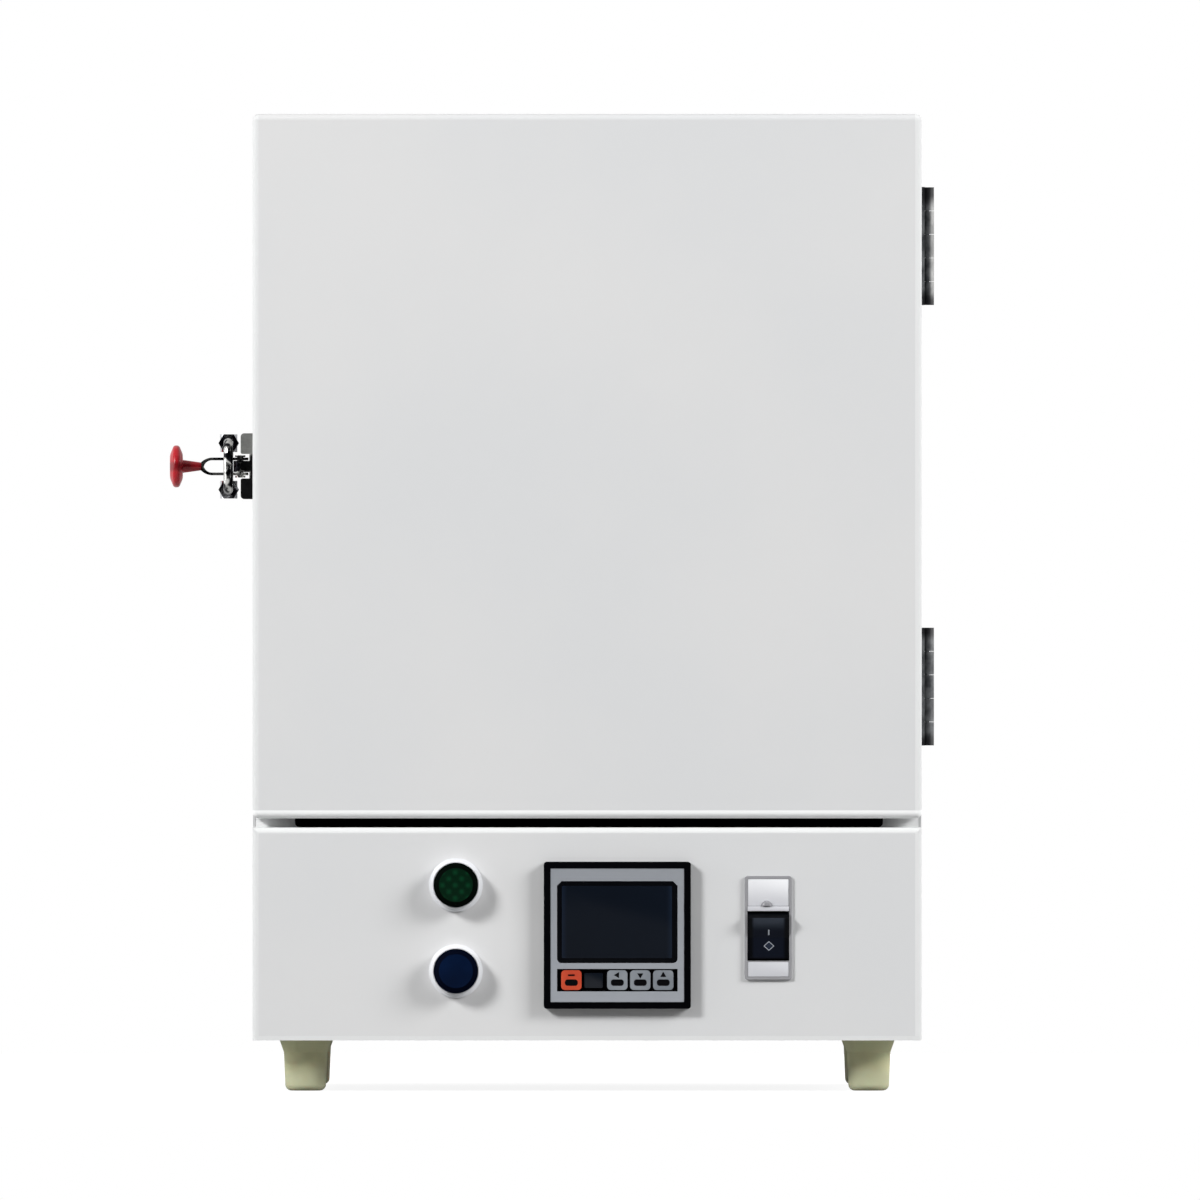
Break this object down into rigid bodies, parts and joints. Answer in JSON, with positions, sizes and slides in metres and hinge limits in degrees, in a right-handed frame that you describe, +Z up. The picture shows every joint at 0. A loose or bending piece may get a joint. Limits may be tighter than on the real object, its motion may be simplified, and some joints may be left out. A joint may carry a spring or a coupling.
{
  "type": "muffle furnace",
  "caption": "Laboratory box furnace: side-hung insulated door with a draw latch, control panel below, lined chamber with wire heating elements, on rubber feet",
  "frame": {"origin": "on the floor, at the middle of the bounding box of the furnace with its latch handle standing out", "axes": "+Z up, +Y from the door towards the back, +X to the right seen from the front"},
  "size_m": [0.4998, 0.567, 0.638],
  "materials": {
    "body_enamel": "smooth white stove enamel",
    "inner_steel": "bare rolled steel",
    "fibre_board": "white ceramic fibre board",
    "hearth_ceramic": "fired cordierite",
    "element_wire": "oxidised heating wire",
    "sensor_steel": "heat-stained steel sheath",
    "seal_rope": "woven fibre rope",
    "hinge_metal": "dark lacquer",
    "plated_steel": "bright zinc or chrome plating",
    "red_plastic": "glossy red",
    "pale_plastic": "satin pale grey",
    "green_plastic": "satin dark green",
    "blue_plastic": "satin dark blue",
    "black_plastic": "fine black texture",
    "silver_face": "silver-grey film",
    "screen_lens": "glossy dark lens",
    "orange_rubber": "matt orange",
    "grey_rubber": "matt grey",
    "lamp_lens": "clouded lens",
    "foot_rubber": "pale olive rubber"
  },
  "bodies": {
    "cabinet": {"feet": "foot_rubber", "base_pan": "body_enamel", "outer_case": "body_enamel", "back_panel": "body_enamel", "front_frame": "body_enamel", "divider_shelf": "inner_steel", "control_panel": "body_enamel", "insulation_left": "fibre_board", "insulation_right": "fibre_board", "insulation_floor": "fibre_board", "insulation_roof": "fibre_board", "hearth_plate": "hearth_ceramic", "insulation_rear": "fibre_board", "inner_case": "inner_steel", "mouth_frame": "fibre_board", "heater_plate_left": "fibre_board", "heating_element_left": "element_wire", "heater_plate_right": "fibre_board", "heating_element_right": "element_wire", "thermocouple": "sensor_steel", "flue_tube": "sensor_steel", "hinge_lower_frame_leaf": "hinge_metal", "hinge_upper_frame_leaf": "hinge_metal", "hinge_pins": "plated_steel", "latch_base": "plated_steel", "latch_pivot_pin": "plated_steel", "green_button_bezel": "pale_plastic", "blue_button_bezel": "pale_plastic", "button_contact_blocks": "black_plastic", "controller_housing": "black_plastic", "controller_face": "silver_face", "controller_screen": "screen_lens", "switch_plate": "pale_plastic", "switch_body": "black_plastic", "pilot_lamp": "lamp_lens", "cable_gland": "black_plastic", "solid_state_relay": "black_plastic", "terminal_block": "black_plastic", "case_screws": "plated_steel"},
    "door": {"door_skin": "body_enamel", "door_inner_plate": "inner_steel", "door_insulation": "fibre_board", "door_plug": "fibre_board", "door_gasket": "seal_rope", "hinge_lower_door_leaf": "hinge_metal", "hinge_upper_door_leaf": "hinge_metal", "latch_keeper": "plated_steel", "door_screws": "plated_steel"},
    "latch_handle": {"latch_handle": "plated_steel", "latch_knob": "red_plastic"},
    "latch_hook": {"latch_trunnion": "plated_steel", "latch_hook": "plated_steel", "latch_nuts": "plated_steel"},
    "green_button": {"green_button_cap": "green_plastic"},
    "blue_button": {"blue_button_cap": "blue_plastic"},
    "key_set": {"key_set": "orange_rubber"},
    "key_shift": {"key_shift": "grey_rubber"},
    "key_down": {"key_down": "grey_rubber"},
    "key_up": {"key_up": "grey_rubber"},
    "power_rocker": {"power_rocker": "black_plastic"}
  },
  "joints": [
    {"name": "door_hinge", "type": "hinge", "parent": "cabinet", "child": "door", "pos_m": [0.2459, -0.218, 0.408], "axis": [0, 0, 1], "range_deg": [0, 180]},
    {"name": "latch_handle_pivot", "type": "hinge", "parent": "cabinet", "child": "latch_handle", "pos_m": [-0.2039, -0.2005, 0.408], "axis": [0, 0, -1], "range_deg": [0, 75]},
    {"name": "latch_hook_pivot", "type": "hinge", "parent": "latch_handle", "child": "latch_hook", "pos_m": [-0.21142, -0.19776, 0.408], "axis": [0, 0, -1], "range_deg": [-75, 0]},
    {"name": "green_button_press", "type": "slide", "parent": "cabinet", "child": "green_button", "axis": [0, 1, 0], "range_m": [0, 0.004], "stiffness_N_per_m": 300, "springref_m": -0.004},
    {"name": "blue_button_press", "type": "slide", "parent": "cabinet", "child": "blue_button", "axis": [0, 1, 0], "range_m": [0, 0.004], "stiffness_N_per_m": 300, "springref_m": -0.004},
    {"name": "key_set_press", "type": "slide", "parent": "cabinet", "child": "key_set", "axis": [0, 1, 0], "range_m": [0, 0.0006], "stiffness_N_per_m": 500, "springref_m": -0.0006},
    {"name": "key_shift_press", "type": "slide", "parent": "cabinet", "child": "key_shift", "axis": [0, 1, 0], "range_m": [0, 0.0006], "stiffness_N_per_m": 500, "springref_m": -0.0006},
    {"name": "key_down_press", "type": "slide", "parent": "cabinet", "child": "key_down", "axis": [0, 1, 0], "range_m": [0, 0.0006], "stiffness_N_per_m": 500, "springref_m": -0.0006},
    {"name": "key_up_press", "type": "slide", "parent": "cabinet", "child": "key_up", "axis": [0, 1, 0], "range_m": [0, 0.0006], "stiffness_N_per_m": 500, "springref_m": -0.0006},
    {"name": "power_rocker_tilt", "type": "hinge", "parent": "cabinet", "child": "power_rocker", "pos_m": [0.1414, -0.2655, 0.1012], "axis": [1, 0, 0], "range_deg": [0, 20]}
  ],
  "couplings": [
    {"joint": "latch_hook_pivot", "follows": "latch_handle_pivot", "ratio": -1}
  ]
}
